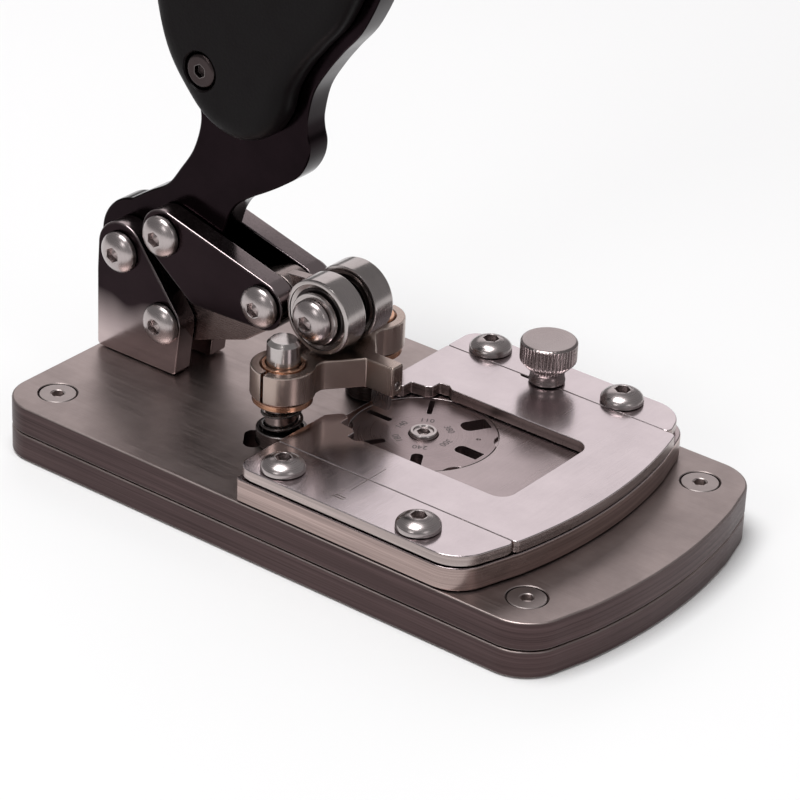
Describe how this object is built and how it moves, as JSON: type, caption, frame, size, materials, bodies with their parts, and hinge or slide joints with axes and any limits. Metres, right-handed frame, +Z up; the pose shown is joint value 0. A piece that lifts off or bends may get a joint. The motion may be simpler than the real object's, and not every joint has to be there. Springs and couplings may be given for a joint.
{
  "type": "watch case press",
  "caption": "Bench toggle press for watch work: lever and rollers push a guided punch bridge onto an indexed slotted die disc inside a sliding U fence.",
  "frame": {"origin": "centre of the base's underside, where the bench surface meets it", "axes": "+Z up, +Y towards the rear where the handle pivots, +X to the operator's right"},
  "size_m": [0.077, 0.1436, 0.1435],
  "materials": {
    "base_steel": "satin ground steel plate, warm grey",
    "bright_steel": "bright ground and polished steel",
    "die_steel": "ground steel, darker edges",
    "disc_steel": null,
    "dark_steel": "dark polished steel",
    "bridge_steel": "warm-toned milled steel",
    "screw_steel": "bright screws",
    "flush_screw_steel": "flush screws, satin",
    "roller_steel": "ground bearing steel",
    "column_steel": "ground guide pins",
    "knurled_steel": "knurled bright steel",
    "punch_steel": "hardened tool steel",
    "spring_steel": "dark spring wire",
    "bronze": "bronze bush",
    "handle_black": "black steel plate, satin",
    "grip_black": "black moulded grip scales"
  },
  "bodies": {
    "press_frame": {"base_lower_plate": "base_steel", "base_upper_plate": "base_steel", "base_screw_front_left": "flush_screw_steel", "base_screw_front_right": "flush_screw_steel", "base_screw_rear_left": "flush_screw_steel", "base_screw_rear_right": "flush_screw_steel", "die_plate": "die_steel", "disc_screw": "screw_steel", "detent_plunger": "screw_steel", "left_rail": "bright_steel", "right_rail": "bright_steel", "rail_screw_left_front": "screw_steel", "rail_screw_right_front": "screw_steel", "rail_screw_left_rear": "screw_steel", "rail_screw_right_rear": "screw_steel", "left_upright": "dark_steel", "right_upright": "dark_steel", "foot_screw_left_front": "flush_screw_steel", "foot_screw_right_front": "flush_screw_steel", "foot_screw_left_rear": "flush_screw_steel", "foot_screw_right_rear": "flush_screw_steel", "left_guide_column": "column_steel", "right_guide_column": "column_steel", "left_spring_cup": "column_steel", "right_spring_cup": "column_steel", "left_return_spring": "spring_steel", "right_return_spring": "spring_steel", "handle_pivot_bolt": "screw_steel", "handle_pivot_end_screw": "screw_steel", "arm_pivot_bolt": "screw_steel", "arm_pivot_end_screw": "screw_steel"},
    "handle": {"handle_plate": "handle_black", "left_grip_scale": "grip_black", "right_grip_scale": "grip_black", "grip_screw_lower": "screw_steel", "grip_screw_upper": "screw_steel", "grip_nut_lower": "screw_steel", "grip_nut_upper": "screw_steel", "link_top_bolt": "screw_steel", "link_top_end_screw": "screw_steel"},
    "press_arm": {"press_arm": "dark_steel", "link_low_bolt": "screw_steel", "link_low_end_screw": "screw_steel", "roller_bolt": "screw_steel", "roller_end_screw": "screw_steel", "left_bearing_inner_ring": "roller_steel", "right_bearing_inner_ring": "roller_steel"},
    "links": {"left_link": "dark_steel", "right_link": "dark_steel"},
    "left_roller": {"left_roller": "roller_steel"},
    "right_roller": {"right_roller": "roller_steel"},
    "bridge": {"punch_bridge": "bridge_steel", "left_guide_bush": "bronze", "right_guide_bush": "bronze", "punch_blade": "punch_steel", "punch_set_screw": "screw_steel"},
    "fence": {"sliding_fence": "bright_steel"},
    "disc": {"index_disc": "disc_steel"},
    "thumb_screw": {"thumb_screw": "knurled_steel"}
  },
  "joints": [
    {"name": "handle_swing", "type": "hinge", "parent": "press_frame", "child": "handle", "pos_m": [0, 0.061, 0.036], "axis": [1, 0, 0], "range_deg": [0, 15]},
    {"name": "arm_swing", "type": "hinge", "parent": "press_frame", "child": "press_arm", "pos_m": [0, 0.0496, 0.0234], "axis": [1, 0, 0], "range_deg": [0, 7.3]},
    {"name": "link_swing", "type": "hinge", "parent": "press_arm", "child": "links", "pos_m": [0, 0.0235, 0.0363], "axis": [1, 0, 0], "range_deg": [-6.8, 0]},
    {"name": "bridge_slide", "type": "slide", "parent": "press_frame", "child": "bridge", "axis": [0, 0, -1], "range_m": [0, 0.00515], "stiffness_N_per_m": 2000, "springref_m": -0.009, "deforming": ["left_return_spring", "right_return_spring"]},
    {"name": "left_roller_spin", "type": "hinge", "parent": "press_arm", "child": "left_roller", "pos_m": [0, 0.0098, 0.0381], "axis": [1, 0, 0], "continuous": true},
    {"name": "right_roller_spin", "type": "hinge", "parent": "press_arm", "child": "right_roller", "pos_m": [0, 0.0098, 0.0381], "axis": [1, 0, 0], "continuous": true},
    {"name": "fence_slide", "type": "slide", "parent": "press_frame", "child": "fence", "axis": [0, -1, 0], "range_m": [0, 0.004]},
    {"name": "thumb_screw_turn", "type": "hinge", "parent": "press_frame", "child": "thumb_screw", "pos_m": [0.0302, -0.0204, 0.02], "axis": [0, 0, 1], "range_deg": [0, 270]},
    {"name": "disc_index", "type": "hinge", "parent": "press_frame", "child": "disc", "pos_m": [0, -0.0123, 0.0172], "axis": [0, 0, 1], "continuous": true}
  ],
  "couplings": [
    {"joint": "arm_swing", "follows": "handle_swing", "ratio": 0.4822},
    {"joint": "link_swing", "follows": "handle_swing", "ratio": -0.4466},
    {"joint": "bridge_slide", "follows": "handle_swing", "m_per_rad": 0.0196}
  ]
}
